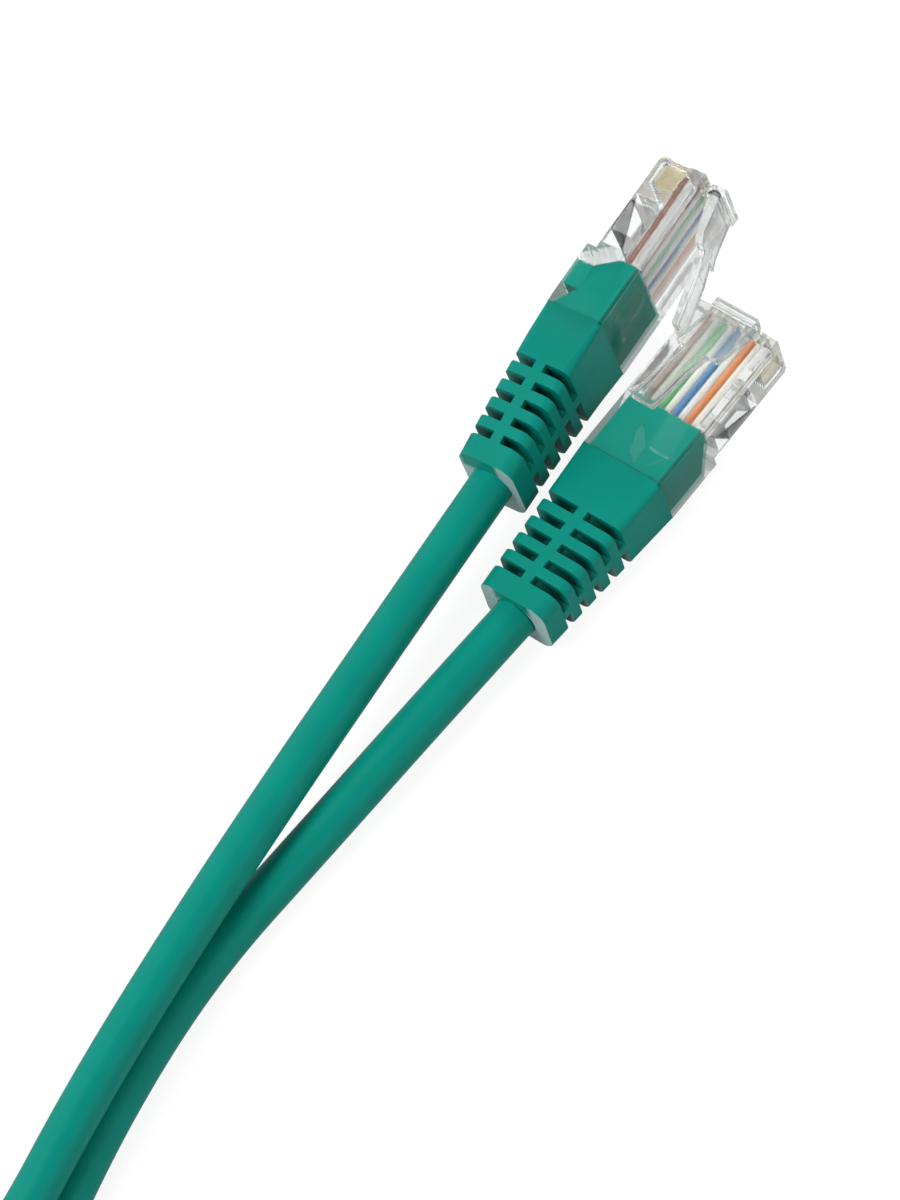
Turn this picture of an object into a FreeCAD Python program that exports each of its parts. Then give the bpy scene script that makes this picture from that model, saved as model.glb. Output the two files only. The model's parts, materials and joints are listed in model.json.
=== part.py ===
import FreeCAD, Part
import math
import os
import re

import Sketcher
from FreeCAD import Placement, Rotation, Vector

# Patch cable: two eight-way modular plugs with moulded boots on one round jacket.
# Each plug has its own frame: +Y towards the nose, +Z towards the latch face,
# pin 1 on the +X side, and the origin in the middle of the boot's front face.

SIZES = {
    # clear housing of the plug
    "body_width": 11.68,
    "body_height": 7.9,
    "body_length": 23.2,
    "nose_step": 1.45,
    "step_length": 8.75,
    "side_wall": 0.7,
    "latch_wall": 0.7,
    "nose_chamfer": 0.6,
    # rear cavity that the first moulding shot fills
    "rear_lip": 0.35,
    "funnel_length": 3.2,
    "cavity_floor": 2.4,
    "window_length": 3.5,
    "window_margin": 0.5,
    "cavity_length": 8.6,
    # flat chamber of the eight wires
    "chamber_rise": 4.95,
    "chamber_end_wall": 1.0,
    "wire_gap": 0.06,
    # empty pocket of the contact side with its two hooked ribs
    "pocket_start": 1.1,
    "pocket_length": 7.6,
    "pocket_depth": 2.85,
    "rib_depth": 1.9,
    "rib_inset": 1.1,
    "rib_spacing": 4.5,
    "rib_tip_gap": 0.1,
    # contacts
    "pin_pitch": 1.02,
    "blade_thickness": 0.35,
    "blade_length": 3.2,
    "blade_recess": 0.45,
    "blade_setback": 0.3,
    "blade_body": 3.0,
    "blade_corner": 0.55,
    "prong_inset": 0.45,
    "prong_width": 0.7,
    "prong_clear": 0.1,
    "slot_gap": 0.06,
    "groove_width": 0.62,
    # latch
    "latch_width": 6.2,
    "lever_width": 3.24,
    "lever_thickness": 1.15,
    "hinge_height": 1.05,
    "hinge_setback": 1.2,
    "knuckle_radius": 0.75,
    "knuckle_gap": 0.2,
    "root_length": 1.4,
    "root_overhang": 0.4,
    "root_height": 2.1,
    "arm_setback": 5.96,
    "arm_rise": 2.9,
    "shoulder_setback": 7.55,
    "shoulder_rise": 3.6,
    "neck_setback": 10.5,
    "neck_rise": 4.65,
    "tip_setback": 17.6,
    "tip_rise": 6.4,
    # moulded boot
    "boot_overhang": 0.11,
    "block_length": 7.5,
    "block_taper": 0.35,
    "block_corner": 0.5,
    "ring_corner": 1.1,
    "boot_length": 21.8,
    "collar_width": 9.8,
    "collar_corner": 2.0,
    "slot_width": 1.15,
    "slot_pitch": 2.55,
    "slot_core": 3.0,
    "spine_width": 1.4,
    "mould_gap": 0.03,
    # jacket and wires
    "jacket_diameter": 5.4,
    "jacket_bore": 4.3,
    "jacket_inside": 0.6,
    "wire_diameter": 0.9,
    "core_diameter": 0.5,
    "core_gap": 0.01,
    "lay_pitch": 1.04,
    "fan_start": 1.6,
    "fan_end": 7.4,
    # places of the two plugs
    "plug_b_x": 6.185,
    "plug_b_y": -6.577,
    "plug_gap": 0.1,
    "plug_a_ahead": 10.9,
    "plug_a_lift": 0.1,
    "plug_a_turn": 4.2,
    "plug_a_pitch": 1.5,
    "plug_a_roll": 88.0,
    # cord: straight exit from each boot, and the coil of the put-away length
    "exit_run": 15.0,
    "coil_x": 21.4,
    "coil_y": -171.2,
    "coil_radius": 27.5,
    "turn_spacing": 5.6,
}

WIRES = [
    "white_orange", "orange", "white_green", "blue",
    "white_blue", "green", "white_brown", "brown",
]
PINS = len(WIRES)
PAIRS = PINS // 2
SLOT_ROWS = 5
PRONGS = 2

# Each bend of the cord takes this share of its shorter run.
RUN_SHARE = 0.45

# Points of the two legs of the cord after their straight exits, up to the coil.
ROUTE_A = [
    (-1.5, -61.5, 8.6),
    (1.3, -82.5, 8.5),
    (4.8, -105.5, 8.45),
    (9.3, -126.5, 8.2),
    (8.0, -137.0, 7.2),
    (3.5, -146.2, 5.8),
]
ROUTE_B = [
    (3.8, -64.5, 2.75),
    (2.8, -84.5, 2.75),
    (5.5, -104.5, 2.75),
    (10.9, -125.0, 2.75),
    (16.9, -133.8, 2.9),
    (25.0, -140.6, 3.6),
]

# Heights and places that several pieces share, in the words of the sizes.
LATCH_FACE = "body_height / 2"
CONTACT_FACE = "-body_height / 2"
NOSE_FACE = "(nose_step - body_height / 2)"
CAVITY_FLOOR = "(cavity_floor - body_height / 2)"
CAVITY_ROOF = "(body_height / 2 - latch_wall)"
CAVITY_WIDTH = "(body_width - 2 * side_wall)"
WINDOW_END = "(funnel_length + window_length)"
CHAMBER_FLOOR = "(chamber_rise - body_height / 2)"
CHAMBER_ROOF = "(chamber_rise - body_height / 2 + wire_diameter + 2 * wire_gap)"
CHAMBER_WIDTH = "(" + str(PINS - 1) + " * pin_pitch + wire_diameter + 2 * wire_gap)"
CHAMBER_END = "(body_length - chamber_end_wall)"
ROW_HEIGHT = "(chamber_rise - body_height / 2 + wire_gap + wire_diameter / 2)"
CORE_UNDERSIDE = "(" + ROW_HEIGHT + " - core_diameter / 2)"
POCKET_START = "(step_length + pocket_start)"
POCKET_END = "(step_length + pocket_start + pocket_length)"
POCKET_ROOF = "(nose_step - body_height / 2 + pocket_depth)"
BLADE_END = "(body_length - blade_setback)"
BLADE_START = "(body_length - blade_setback - blade_length)"
BLADE_EDGE = "(nose_step - body_height / 2 + blade_recess)"
BLADE_TOP = "(nose_step - body_height / 2 + blade_recess + blade_body)"
HINGE_Y = "(body_length - hinge_setback)"
HINGE_Z = "(body_height / 2 + hinge_height)"
FIRST_PIN = str((PINS - 1) / 2) + " * pin_pitch"

doc = FreeCAD.newDocument("PatchCable")
sheet = doc.addObject("Spreadsheet::Sheet", "Sizes")
for row, (word, amount) in enumerate(SIZES.items(), start=1):
    sheet.set("A" + str(row), word)
    sheet.set("B" + str(row), str(amount))
    sheet.setAlias("B" + str(row), word)
doc.recompute()

sub_parts = {}


def with_words(text, change):
    """A formula with each word that names a size changed by a function."""
    def swap(match):
        word = match.group(0)
        return change(word) if word in SIZES else word
    return re.sub(r"[a-z][a-z_]+", swap, text)


def number(text):
    """The value of a formula, as a plain number."""
    digits = with_words(text, lambda word: "(" + str(getattr(sheet, word)) + ")")
    return FreeCAD.Units.Quantity(digits).Value


def tie(thing, **formulas):
    """Ties properties of an object to formulas of the sheet."""
    for name, text in formulas.items():
        path = name.replace("__", ".")
        thing.setExpression(path, with_words(text, lambda word: "Sizes." + word))
    return thing


def keep(thing, label, place):
    """Names a finished sub-part and ties it to its place."""
    thing.Label = label
    tie(thing, Placement=place)
    sub_parts[label] = thing
    return thing


def moved_along_x(place, distance):
    """A placement formula with a further step along the plug's own X."""
    return place + " * placement(vector(" + distance + "; 0; 0); rotation(0; 0; 0))"


def origin_feature(body, role):
    """One of the origin planes or axes of a body."""
    for feature in body.Origin.OriginFeatures:
        if feature.Role == role:
            return feature
    raise ValueError(role)


def new_sketch(body, name, role, offset="0"):
    """A sketch on an origin plane of its body, moved along the plane's normal."""
    sketch = body.newObject("Sketcher::SketchObject", name)
    sketch.AttachmentSupport = [(origin_feature(body, role), "")]
    sketch.MapMode = "FlatFace"
    tie(sketch, AttachmentOffset__Base__z=offset)
    return sketch


def distance(sketch, kind, line, end, text):
    """Ties the X or Y of a line's end, counted from the origin, to a formula."""
    row = sketch.addConstraint(Sketcher.Constraint(kind, -1, 1, line, end, number(text)))
    tie(sketch, **{"Constraints[" + str(row) + "]": text})


def outline(body, name, corners, role="YZ_Plane", offset="0"):
    """A sketch of one closed outline with straight sides."""
    sketch = new_sketch(body, name, role, offset)
    count = len(corners)
    places = [Vector(number(across), number(up), 0) for across, up in corners]
    sides = [Part.LineSegment(places[index], places[(index + 1) % count]) for index in range(count)]
    sketch.addGeometry(sides, False)
    joints = [Sketcher.Constraint("Coincident", index, 2, (index + 1) % count, 1) for index in range(count)]
    sketch.addConstraint(joints)
    for index, (across, up) in enumerate(corners):
        distance(sketch, "DistanceX", index, 1, across)
        distance(sketch, "DistanceY", index, 1, up)
    return sketch


def rectangle(left, bottom, right, top):
    """The four corners of an upright rectangle."""
    return [(left, bottom), (right, bottom), (right, top), (left, top)]


def circles(body, name, role, offset, centre, diameters):
    """A sketch of circles round one centre."""
    sketch = new_sketch(body, name, role, offset)
    middle = Vector(number(centre[0]), number(centre[1]), 0)
    for index, diameter in enumerate(diameters):
        sketch.addGeometry(Part.Circle(middle, Vector(0, 0, 1), number(diameter) / 2), False)
        row = sketch.addConstraint(Sketcher.Constraint("Diameter", index, number(diameter)))
        tie(sketch, **{"Constraints[" + str(row) + "]": diameter})
        distance(sketch, "DistanceX", index, 3, centre[0])
        distance(sketch, "DistanceY", index, 3, centre[1])
    return sketch


def extrude(body, kind, name, sketch, length, side="Symmetric"):
    """A pad or a pocket of a sketch, to a length that follows a formula."""
    feature = body.newObject("PartDesign::" + kind, name)
    feature.Profile = sketch
    feature.SideType = side
    tie(feature, Length=length)
    return feature


def repeat(body, name, originals, role, spacing, count, backwards=False):
    """A row of copies of earlier features along an origin axis."""
    pattern = body.newObject("PartDesign::LinearPattern", name)
    pattern.Originals = originals
    pattern.Direction = (origin_feature(body, role), [""])
    pattern.Mode = "Spacing"
    pattern.Occurrences = count
    pattern.Reversed = backwards
    tie(pattern, Offset=spacing)
    body.Tip = pattern
    return pattern


# Clear housing


def cavity_corners():
    """Side view of the rear cavity: a ramp in, a floor, and a slope up to the wire chamber."""
    return [
        ("0", "rear_lip - body_height / 2"),
        ("funnel_length", CAVITY_FLOOR),
        (WINDOW_END, CAVITY_FLOOR),
        ("cavity_length", CHAMBER_FLOOR),
        ("cavity_length", CAVITY_ROOF),
        ("0", CAVITY_ROOF),
    ]


def window_corners():
    """Side view of the window in the contact face."""
    return rectangle("funnel_length", CONTACT_FACE, WINDOW_END, CAVITY_FLOOR)


def add_shell(body):
    """Outer block, with the contact face stepped up ahead of the rear part."""
    corners = [
        ("0", CONTACT_FACE),
        ("step_length", CONTACT_FACE),
        ("step_length", NOSE_FACE),
        ("body_length - nose_chamfer", NOSE_FACE),
        ("body_length", NOSE_FACE + " + nose_chamfer"),
        ("body_length", LATCH_FACE),
        ("0", LATCH_FACE),
    ]
    extrude(body, "Pad", "Block", outline(body, "BlockOutline", corners), "body_width")


def add_cavities(body):
    """Rear cavity, its window, the wire chamber and the empty pocket."""
    window_width = CAVITY_WIDTH + " - 2 * window_margin"
    chamber = rectangle("cavity_length", CHAMBER_FLOOR, CHAMBER_END, CHAMBER_ROOF)
    pocket = rectangle(POCKET_START, NOSE_FACE, POCKET_END, POCKET_ROOF)
    for name, corners, width in (
        ("Cavity", cavity_corners(), CAVITY_WIDTH),
        ("Window", window_corners(), window_width),
        ("Chamber", chamber, CHAMBER_WIDTH),
        ("EmptyPocket", pocket, CAVITY_WIDTH),
    ):
        extrude(body, "Pocket", name, outline(body, name + "Outline", corners), width)


def add_ribs(body):
    """Two hooked ribs across the empty pocket, upright in front and sloping behind."""
    for index in range(2):
        front = "(" + POCKET_END + " - rib_inset - rib_spacing * " + str(index) + ")"
        corners = [
            (front, POCKET_ROOF),
            (front + " - rib_depth", POCKET_ROOF),
            (front, NOSE_FACE + " + rib_tip_gap"),
        ]
        name = "Rib" + str(index + 1)
        extrude(body, "Pad", name, outline(body, name + "Outline", corners), CAVITY_WIDTH)


def add_latch_root(body):
    """Block on the nose that seats the latch's knuckle in a round recess."""
    top = LATCH_FACE + " + root_height"
    front = "body_length + root_overhang"
    corners = rectangle("body_length + root_overhang - root_length", LATCH_FACE, front, top)
    extrude(body, "Pad", "Root", outline(body, "RootOutline", corners), "latch_width")
    seat = circles(
        body, "SeatCircle", "YZ_Plane", "0", (HINGE_Y, HINGE_Z), ["2 * (knuckle_radius + knuckle_gap)"],
    )
    extrude(body, "Pocket", "Seat", seat, "latch_width")


def add_contact_slots(body):
    """Eight slots for the blades, each under a wider groove that is open at the nose."""
    first = "-" + FIRST_PIN
    slot = rectangle(BLADE_START + " - slot_gap", NOSE_FACE, BLADE_END + " + slot_gap", CHAMBER_FLOOR)
    groove = rectangle(BLADE_START + " - slot_gap", NOSE_FACE, "body_length", BLADE_EDGE)
    cuts = []
    for name, corners, width in (
        ("BladeSlot", slot, "blade_thickness + 2 * slot_gap"),
        ("BladeGroove", groove, "groove_width"),
    ):
        sketch = outline(body, name + "Outline", corners, offset=first)
        cuts.append(extrude(body, "Pocket", name, sketch, width))
    repeat(body, "ContactRow", cuts, "X_Axis", "pin_pitch", PINS)


def housing(letter, place):
    """Clear housing of a plug, with the block that carries its latch."""
    body = doc.addObject("PartDesign::Body", "Housing" + letter.upper())
    add_shell(body)
    add_cavities(body)
    add_ribs(body)
    add_latch_root(body)
    add_contact_slots(body)
    keep(body, "housing_" + letter, place)


# Latch


def latch_lever(letter, place):
    """Sprung lever: a knuckle, a wide arm up to the shoulders and a narrow finger tip."""
    body = doc.addObject("PartDesign::Body", "Lever" + letter.upper())
    arm_y = "body_length - arm_setback"
    arm_z = LATCH_FACE + " + arm_rise"
    shoulder_y = "body_length - shoulder_setback"
    shoulder_z = LATCH_FACE + " + shoulder_rise"
    neck_y = "body_length - neck_setback"
    neck_z = LATCH_FACE + " + neck_rise"
    tip_y = "body_length - tip_setback"
    tip_z = LATCH_FACE + " + tip_rise"
    below = " - lever_thickness"
    arm = [
        (HINGE_Y, HINGE_Z + " + knuckle_radius"),
        (arm_y, arm_z),
        (shoulder_y, shoulder_z),
        (shoulder_y, shoulder_z + below),
        (arm_y, arm_z + below),
        (HINGE_Y, HINGE_Z + " - knuckle_radius"),
    ]
    finger = [
        (arm_y, arm_z),
        (shoulder_y, shoulder_z),
        (neck_y, neck_z),
        (tip_y, tip_z),
        (tip_y, tip_z + below),
        (neck_y, neck_z + below),
        (shoulder_y, shoulder_z + below),
        (arm_y, arm_z + below),
    ]
    extrude(body, "Pad", "Arm", outline(body, "ArmOutline", arm), "latch_width")
    knuckle = circles(body, "KnuckleCircle", "YZ_Plane", "0", (HINGE_Y, HINGE_Z), ["2 * knuckle_radius"])
    extrude(body, "Pad", "Knuckle", knuckle, "latch_width")
    extrude(body, "Pad", "Finger", outline(body, "FingerOutline", finger), "lever_width")
    keep(body, "latch_lever_" + letter, place)


# Contacts


def prong_start(index):
    """Where the rear or the front prong of a contact starts along the plug."""
    if index == 0:
        return "(" + BLADE_START + " + prong_inset)"
    return "(" + CHAMBER_END + " - prong_clear - prong_width)"


def contacts(letter, place):
    """Eight stamped blades with cut corners and two prongs that reach a wire's core."""
    corners = [
        (BLADE_START, BLADE_EDGE + " + blade_corner"),
        (BLADE_START + " + blade_corner", BLADE_EDGE),
        (BLADE_END + " - blade_corner", BLADE_EDGE),
        (BLADE_END, BLADE_EDGE + " + blade_corner"),
        (BLADE_END, BLADE_TOP),
    ]
    for index in reversed(range(PRONGS)):
        start = prong_start(index)
        corners += [
            (start + " + prong_width", BLADE_TOP),
            (start + " + prong_width / 2", CORE_UNDERSIDE),
            (start, BLADE_TOP),
        ]
    corners.append((BLADE_START, BLADE_TOP))
    for pin in range(1, PINS + 1):
        body = doc.addObject("PartDesign::Body", "Contact" + letter.upper() + str(pin))
        extrude(body, "Pad", "Blade", outline(body, "BladeOutline", corners), "blade_thickness")
        label = "contact_" + str(pin) + "_" + letter
        keep(body, label, moved_along_x(place, FIRST_PIN + " - pin_pitch * " + str(pin - 1)))


# Boot


def rounded_section(body, name, offset, half_width, half_height, corner):
    """A sketch of a rounded rectangle across the boot."""
    sketch = new_sketch(body, name, "XZ_Plane", offset)
    wide = number(half_width)
    high = number(half_height)
    round_ = number(corner)
    flats = [
        ((-wide + round_, -high), (wide - round_, -high)),
        ((wide, -high + round_), (wide, high - round_)),
        ((wide - round_, high), (-wide + round_, high)),
        ((-wide, high - round_), (-wide, -high + round_)),
    ]
    for start, end in flats:
        sketch.addGeometry(Part.LineSegment(Vector(*start, 0), Vector(*end, 0)), False)
    for quarter, (side, up) in enumerate(((1, -1), (1, 1), (-1, 1), (-1, -1))):
        middle = Vector(side * (wide - round_), up * (high - round_), 0)
        start = (quarter - 1) * math.pi / 2
        bend = Part.ArcOfCircle(Part.Circle(middle, Vector(0, 0, 1), round_), start, start + math.pi / 2)
        sketch.addGeometry(bend, False)
    rules = []
    for side in range(4):
        rules.append(Sketcher.Constraint("Tangent", side, 2, 4 + side, 1))
        rules.append(Sketcher.Constraint("Tangent", 4 + side, 2, (side + 1) % 4, 1))
        rules.append(Sketcher.Constraint("Vertical" if side % 2 else "Horizontal", side))
    for side in range(1, 4):
        rules.append(Sketcher.Constraint("Equal", 4, 4 + side))
    sketch.addConstraint(rules)
    row = sketch.addConstraint(Sketcher.Constraint("Radius", 4, round_))
    tie(sketch, **{"Constraints[" + str(row) + "]": corner})
    distance(sketch, "DistanceX", 1, 1, half_width)
    distance(sketch, "DistanceX", 3, 1, "-(" + half_width + ")")
    distance(sketch, "DistanceY", 0, 1, "-(" + half_height + ")")
    distance(sketch, "DistanceY", 2, 1, half_height)
    return sketch


def corner_cuts(body, name, offset):
    """A sketch of the four corners outside the boot's round core and its four spines."""
    sketch = new_sketch(body, name, "XZ_Plane", offset)
    core = number("slot_core")
    spine = number("spine_width / 2")
    reach_x = "body_width"
    reach_z = "body_height"
    meet = math.sqrt(core * core - spine * spine)
    for side, up in ((1, 1), (-1, 1), (-1, -1), (1, -1)):
        first = sketch.GeometryCount
        corners = [
            Vector(side * spine, up * meet, 0),
            Vector(side * spine, up * number(reach_z), 0),
            Vector(side * number(reach_x), up * number(reach_z), 0),
            Vector(side * number(reach_x), up * spine, 0),
            Vector(side * meet, up * spine, 0),
        ]
        for start, end in zip(corners, corners[1:]):
            sketch.addGeometry(Part.LineSegment(start, end), False)
        angles = [math.atan2(corners[4].y, corners[4].x), math.atan2(corners[0].y, corners[0].x)]
        forward = side * up > 0
        low, high = angles if forward else angles[::-1]
        sketch.addGeometry(Part.ArcOfCircle(Part.Circle(Vector(), Vector(0, 0, 1), core), low, high), False)
        arc = first + 4
        near, far = (1, 2) if forward else (2, 1)
        rules = [Sketcher.Constraint("Coincident", line, 2, line + 1, 1) for line in range(first, first + 3)]
        rules.append(Sketcher.Constraint("Coincident", first + 3, 2, arc, near))
        rules.append(Sketcher.Constraint("Coincident", arc, far, first, 1))
        rules.append(Sketcher.Constraint("Coincident", arc, 3, -1, 1))
        rules += [Sketcher.Constraint("Vertical", first), Sketcher.Constraint("Horizontal", first + 1)]
        rules += [Sketcher.Constraint("Vertical", first + 2), Sketcher.Constraint("Horizontal", first + 3)]
        sketch.addConstraint(rules)
        row = sketch.addConstraint(Sketcher.Constraint("Radius", arc, core))
        tie(sketch, **{"Constraints[" + str(row) + "]": "slot_core"})
        distance(sketch, "DistanceX", first, 2, str(side) + " * spine_width / 2")
        distance(sketch, "DistanceY", first, 2, str(up) + " * " + reach_z)
        distance(sketch, "DistanceX", first + 2, 1, str(side) + " * " + reach_x)
        distance(sketch, "DistanceY", first + 3, 1, str(up) + " * spine_width / 2")
    return sketch


def boot(letter, place):
    """Moulded boot: a block on the plug, a tapering slotted stretch and a round collar."""
    body = doc.addObject("PartDesign::Body", "Boot" + letter.upper())
    half_width = "body_width / 2 + boot_overhang"
    front = rounded_section(body, "BlockFront", "0", half_width, LATCH_FACE, "block_corner")
    back_width = half_width + " - block_taper"
    back = rounded_section(body, "BlockBack", "block_length", back_width, LATCH_FACE, "ring_corner")
    collar = rounded_section(
        body, "CollarEnd", "boot_length", "collar_width / 2", LATCH_FACE, "collar_corner",
    )
    form = body.newObject("PartDesign::AdditiveLoft", "Form")
    form.Profile = front
    form.Sections = [back, collar]
    form.Ruled = True
    cuts = corner_cuts(body, "CornerCuts", "block_length + slot_width")
    slot = extrude(body, "Pocket", "SlotRow", cuts, "slot_width", side="One side")
    repeat(body, "SlotRows", [slot], "Y_Axis", "slot_pitch", SLOT_ROWS, backwards=True)
    bore = circles(
        body, "BoreCircle", "XZ_Plane", "boot_length", ("0", "0"), ["jacket_diameter + 2 * mould_gap"],
    )
    extrude(body, "Pocket", "Bore", bore, "boot_length", side="One side")
    keep(body, "boot_" + letter, place)


def jacket_end(letter, place):
    """Stripped end of the round jacket inside the boot, reaching into the housing."""
    body = doc.addObject("PartDesign::Body", "JacketEnd" + letter.upper())
    ring = circles(
        body, "RingCircles", "XZ_Plane", "-jacket_inside", ("0", "0"), ["jacket_diameter", "jacket_bore"],
    )
    extrude(body, "Pad", "Ring", ring, "jacket_inside + boot_length", side="One side")
    keep(body, "jacket_end_" + letter, place)


# Tubes along a route: straight runs joined by tangent arcs


def rounded_path(points, title=None):
    """A wire along the points, with an arc in each corner as large as its runs allow."""
    edges = []
    start = points[0]
    radii = []
    for before, corner, after in zip(points, points[1:], points[2:]):
        back = before - corner
        ahead = after - corner
        turn = math.pi - back.getAngle(ahead)
        reach = RUN_SHARE * min(back.Length, ahead.Length)
        radius = reach / math.tan(turn / 2)
        enter = corner + back.normalize() * reach
        leave = corner + ahead.normalize() * reach
        inward = (back + ahead).normalize()
        middle = corner + inward * (radius / math.cos(turn / 2) - radius)
        edges.append(Part.LineSegment(start, enter).toShape())
        edges.append(Part.Arc(enter, middle, leave).toShape())
        radii.append(radius)
        start = leave
    edges.append(Part.LineSegment(start, points[-1]).toShape())
    if title:
        print(title, "bend radii", [round(radius, 1) for radius in radii])
    return Part.Wire(edges)


def tube(points, radius, title=None):
    """A solid round bar along the points."""
    path = rounded_path(points, title)
    circle = Part.Wire([Part.makeCircle(radius, points[0], points[1] - points[0])])
    shape = path.makePipeShell([circle], True, False)
    if title:
        section = math.pi * radius * radius
        print(title, "length", round(path.Length, 2), "volume share", round(shape.Volume / section / path.Length, 5))
    return shape


# Wires


def wire_points(pin):
    """Route of a wire: in the pairs' bundle, then fanned out into the flat row."""
    pair = (pin - 1) // 2
    side = 1 if pin % 2 else -1
    half = number("lay_pitch") / 2
    bundle_x = ((PAIRS - 1) / 2 - pair) * number("lay_pitch")
    row_x = number(FIRST_PIN) - (pin - 1) * number("pin_pitch")
    pair_x = number(FIRST_PIN) - (2 * pair + 0.5) * number("pin_pitch")
    row_z = number(ROW_HEIGHT)
    turned = half * math.sqrt(0.5) * side
    fan_start = number("fan_start")
    fan_end = number("fan_end")
    return [
        Vector(bundle_x, -number("boot_length"), half * side),
        Vector(bundle_x, fan_start, half * side),
        Vector((bundle_x + pair_x) / 2 + turned, (fan_start + fan_end) / 2, row_z / 2 + turned),
        Vector(row_x, fan_end, row_z),
        Vector(row_x, number(CHAMBER_END + " - wire_gap"), row_z),
    ]


def prong_holes(pin):
    """Room in a wire's insulation for the two prongs of its contact."""
    half = number("blade_thickness / 2 + slot_gap")
    row_x = number(FIRST_PIN) - (pin - 1) * number("pin_pitch")
    low = number(ROW_HEIGHT + " - wire_diameter")
    high = number(ROW_HEIGHT)
    holes = []
    for index in range(PRONGS):
        start = number(prong_start(index) + " - slot_gap")
        width = number("prong_width + 2 * slot_gap")
        holes.append(Part.makeBox(2 * half, width, high - low, Vector(row_x - half, start, low)))
    return holes


def insulation(pin):
    """Coloured sleeve of a wire, cut where the prongs go through it."""
    points = wire_points(pin)
    sleeve = tube(points, number("wire_diameter / 2"))
    bore = tube(points, number("core_diameter / 2 + core_gap"))
    return sleeve.cut([bore] + prong_holes(pin))


def copper_cores():
    """The eight copper strands' bundles, one solid for each wire."""
    radius = number("core_diameter / 2")
    return Part.Compound([tube(wire_points(pin), radius) for pin in range(1, PINS + 1)])


def overmould_passages():
    """Space in the first moulding shot for the wires and the end of the jacket."""
    radius = number("wire_diameter / 2 + mould_gap")
    passages = [tube(wire_points(pin), radius) for pin in range(1, PINS + 1)]
    jacket = number("jacket_diameter / 2 + mould_gap")
    passages.append(Part.makeCylinder(jacket, number("jacket_inside"), Vector(), Vector(0, 1, 0)))
    return passages


def shaped(label, shape, place):
    """A sub-part whose form is a swept solid."""
    thing = doc.addObject("Part::Feature", label.title().replace("_", ""))
    thing.Shape = shape
    keep(thing, label, place)


def inner_overmould(letter, place, passages):
    """First moulding shot: it fills the rear cavity and its window round the wires."""
    form = doc.addObject("PartDesign::Body", "OvermouldForm" + letter.upper())
    extrude(form, "Pad", "Filling", outline(form, "FillingOutline", cavity_corners()), CAVITY_WIDTH)
    window = outline(form, "WindowFillOutline", window_corners())
    extrude(form, "Pad", "WindowFilling", window, CAVITY_WIDTH + " - 2 * window_margin")
    holes = doc.addObject("Part::Feature", "OvermouldPassages" + letter.upper())
    holes.Shape = passages
    cut = doc.addObject("Part::Cut", "Overmould" + letter.upper())
    cut.Base = form
    cut.Tool = holes
    keep(cut, "inner_overmould_" + letter, place)


# The two plugs and the cord

PLUG_B_PLACE = "placement(vector(plug_b_x; plug_b_y; body_height / 2); rotation(0; 0; 0))"
PLUG_A_PLACE = (
    "placement("
    "vector(plug_b_x - latch_width / 2 - tip_rise - body_height / 2 - plug_gap;"
    " plug_b_y + plug_a_ahead; body_height + lever_width / 2 + plug_a_lift);"
    " rotation(vector(0; 0; 1); plug_a_turn) * rotation(vector(1; 0; 0); plug_a_pitch)"
    " * rotation(vector(0; 1; 0); plug_a_roll))"
)


def plug(letter, place, sleeves, cores, passages):
    """All the pieces of one plug, at its place."""
    housing(letter, place)
    latch_lever(letter, place)
    contacts(letter, place)
    boot(letter, place)
    jacket_end(letter, place)
    inner_overmould(letter, place, passages.copy())
    for colour, sleeve in zip(WIRES, sleeves):
        shaped("wire_" + colour + "_" + letter, sleeve.copy(), place)
    shaped("copper_cores_" + letter, cores.copy(), place)


def cord_leg(letter, route):
    """The cord from a boot's rear face to the coil, leaving the boot straight."""
    place = sub_parts["boot_" + letter].Placement
    rear = -number("boot_length")
    points = [
        place.multVec(Vector(0, rear, 0)),
        place.multVec(Vector(0, rear - number("exit_run"), 0)),
    ]
    points += [Vector(*point) for point in route]
    label = "jacket_leg_" + letter
    leg = doc.addObject("Part::Feature", "JacketLeg" + letter.upper())
    leg.Shape = tube(points, number("jacket_diameter / 2"), label)
    leg.Label = label
    leg.Placement = Placement(Vector(), Rotation())
    sub_parts[label] = leg


def cord_coil():
    """The put-away length: a ring whose section holds four turns side by side and stacked."""
    coil = doc.addObject("Part::Torus", "Coil")
    bundle = "(turn_spacing / 2 ^ 0.5 + jacket_diameter / 2)"
    tie(coil, Radius1="coil_radius", Radius2=bundle)
    place = "placement(vector(coil_x; coil_y; " + bundle + "); rotation(0; 0; 0))"
    keep(coil, "jacket_coil", place)


def check():
    """Stops when a feature failed or a sub-part isn't sound."""
    for thing in doc.Objects:
        if "Invalid" in thing.State or "Error" in thing.State:
            raise RuntimeError(thing.Name + " failed")
    for label, thing in sub_parts.items():
        if thing.Shape.isNull() or not thing.Shape.isValid() or not thing.Shape.Solids:
            raise RuntimeError(label + " isn't sound")


def write():
    """Writes each sub-part to its own file."""
    os.makedirs("parts", exist_ok=True)
    for label, thing in sub_parts.items():
        thing.Shape.exportStep(os.path.join("parts", label + ".step"))


sleeves = [insulation(pin) for pin in range(1, PINS + 1)]
cores = copper_cores()
passages = Part.Compound(overmould_passages())
plug("a", PLUG_A_PLACE, sleeves, cores, passages)
plug("b", PLUG_B_PLACE, sleeves, cores, passages)
doc.recompute()
cord_leg("a", ROUTE_A)
cord_leg("b", ROUTE_B)
cord_coil()
doc.recompute()
check()
write()
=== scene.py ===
import json
import math

import bmesh
import bpy
import numpy as np
from mathutils import Matrix, Vector


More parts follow.
